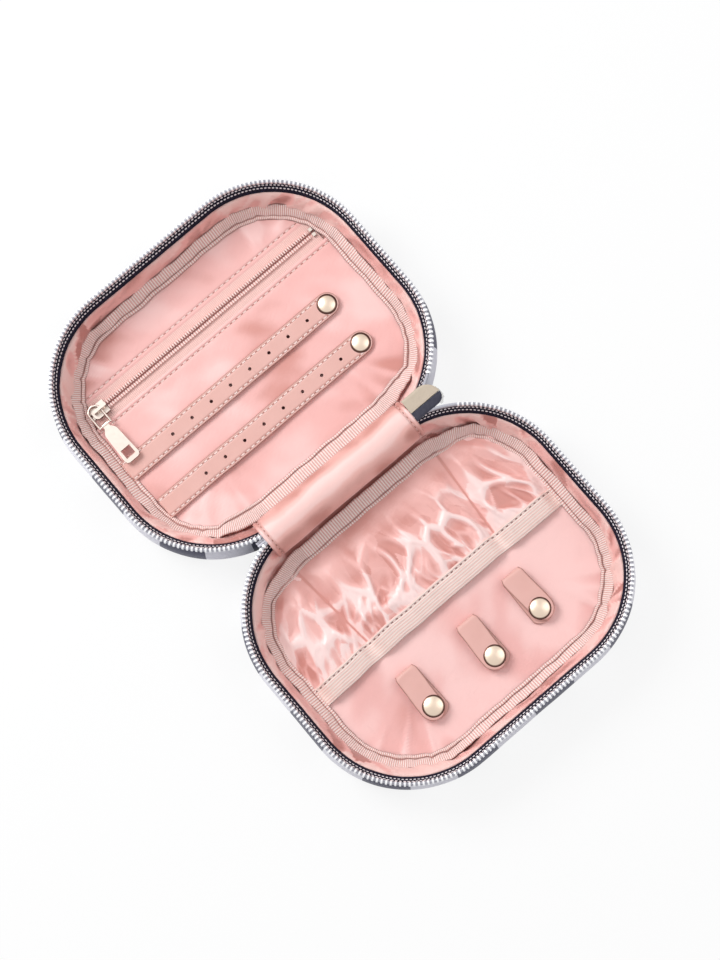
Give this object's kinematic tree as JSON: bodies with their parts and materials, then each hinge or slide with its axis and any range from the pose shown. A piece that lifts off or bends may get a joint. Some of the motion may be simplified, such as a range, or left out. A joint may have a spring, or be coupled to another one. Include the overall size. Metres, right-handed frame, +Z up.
{
  "type": "travel jewelry case",
  "caption": "Zip-around travel jewelry case lying open, with snap straps for earrings, a zip pocket, a gathered elastic pocket and snap tabs for necklaces.",
  "frame": {"origin": "on the table under the middle of the fold line between the two halves", "axes": "+X along the fold, +Y from the fold to the lid half's far wall, -Y to the base half's, +Z up"},
  "size_m": [0.165, 0.268, 0.0254],
  "materials": {
    "gingham_cover": "navy and white gingham, woven twill, semi-stiff",
    "foam": "soft board and foam, hidden",
    "satin": "salmon-pink satin",
    "grosgrain": "pale-pink ribbed grosgrain",
    "navy_tape": "navy zip tape with white topstitching",
    "zip_teeth": "bright silver",
    "pocket_coil": "pink coil",
    "leather": "beige-pink smooth leather",
    "end_tab_tan": "tan",
    "end_tab_grey": "dark grey woven",
    "gold": "champagne gold, polished",
    "steel": "nickel-plated, satin"
  },
  "bodies": {
    "base": {"base_cover": "gingham_cover", "base_foam": "foam", "base_lining": "satin", "base_panel": "satin", "base_binding": "grosgrain", "base_zip_tape": "navy_tape", "base_zip_teeth": "zip_teeth", "base_spine_roll": "satin", "base_end_tab": "end_tab_grey", "elastic_pocket": "satin", "elastic_band": "grosgrain", "left_tab_back": "leather", "middle_tab_back": "leather", "right_tab_back": "leather", "tab_studs": "steel", "main_slider": "steel"},
    "lid": {"lid_cover": "gingham_cover", "lid_foam": "foam", "lid_lining": "satin", "pocket_back": "satin", "upper_panel": "satin", "lower_panel": "satin", "pocket_zip_tape": "grosgrain", "pocket_zip_teeth": "pocket_coil", "pocket_zip_stops": "gold", "lid_binding": "grosgrain", "lid_zip_tape": "navy_tape", "lid_zip_teeth": "zip_teeth", "lid_spine_roll": "satin", "lid_end_tab": "end_tab_tan", "upper_strap_end": "leather", "lower_strap_end": "leather", "strap_studs": "steel"},
    "zip_slider": {"pocket_slider": "gold"},
    "link": {"slider_link": "gold"},
    "pull": {"pocket_pull": "gold"},
    "upper_strap": {"upper_strap": "leather", "upper_strap_cap": "gold", "upper_strap_socket": "steel"},
    "lower_strap": {"lower_strap": "leather", "lower_strap_cap": "gold", "lower_strap_socket": "steel"},
    "left_tab": {"left_tab_flap": "leather", "left_tab_cap": "gold", "left_tab_socket": "steel"},
    "middle_tab": {"middle_tab_flap": "leather", "middle_tab_cap": "gold", "middle_tab_socket": "steel"},
    "right_tab": {"right_tab_flap": "leather", "right_tab_cap": "gold", "right_tab_socket": "steel"},
    "main_pull": {"main_pull": "steel"}
  },
  "joints": [
    {"name": "lid_fold", "type": "hinge", "parent": "base", "child": "lid", "pos_m": [0, 0, 0.025], "axis": [1, 0, 0], "range_deg": [0, 180]},
    {"name": "pocket_zip_travel", "type": "slide", "parent": "lid", "child": "zip_slider", "axis": [1, 0, 0], "range_m": [0, 0.1195]},
    {"name": "link_swing", "type": "hinge", "parent": "zip_slider", "child": "link", "pos_m": [-0.05944, 0.0948, 0.00795], "axis": [0, -1, 0], "range_deg": [-80, 0]},
    {"name": "pull_swing", "type": "hinge", "parent": "link", "child": "pull", "pos_m": [-0.06249, 0.0876, 0.00795], "axis": [1, 0, 0], "range_deg": [-90, 0]},
    {"name": "upper_strap_lift", "type": "hinge", "parent": "lid", "child": "upper_strap", "pos_m": [-0.054, 0.065, 0.006], "axis": [0, 1, 0], "range_deg": [-95, 0]},
    {"name": "lower_strap_lift", "type": "hinge", "parent": "lid", "child": "lower_strap", "pos_m": [-0.054, 0.0418, 0.006], "axis": [0, 1, 0], "range_deg": [-95, 0]},
    {"name": "left_tab_lift", "type": "hinge", "parent": "base", "child": "left_tab", "pos_m": [-0.033, -0.0833, 0.0082], "axis": [1, 0, 0], "range_deg": [-135, 0]},
    {"name": "middle_tab_lift", "type": "hinge", "parent": "base", "child": "middle_tab", "pos_m": [0.0015, -0.0841, 0.0082], "axis": [1, 0, 0], "range_deg": [-135, 0]},
    {"name": "right_tab_lift", "type": "hinge", "parent": "base", "child": "right_tab", "pos_m": [0.03, -0.0813, 0.0082], "axis": [1, 0, 0], "range_deg": [-135, 0]},
    {"name": "main_pull_swing", "type": "hinge", "parent": "base", "child": "main_pull", "pos_m": [0.0575, 0, 0.0202], "axis": [0, 1, 0], "range_deg": [-90, 0]}
  ]
}
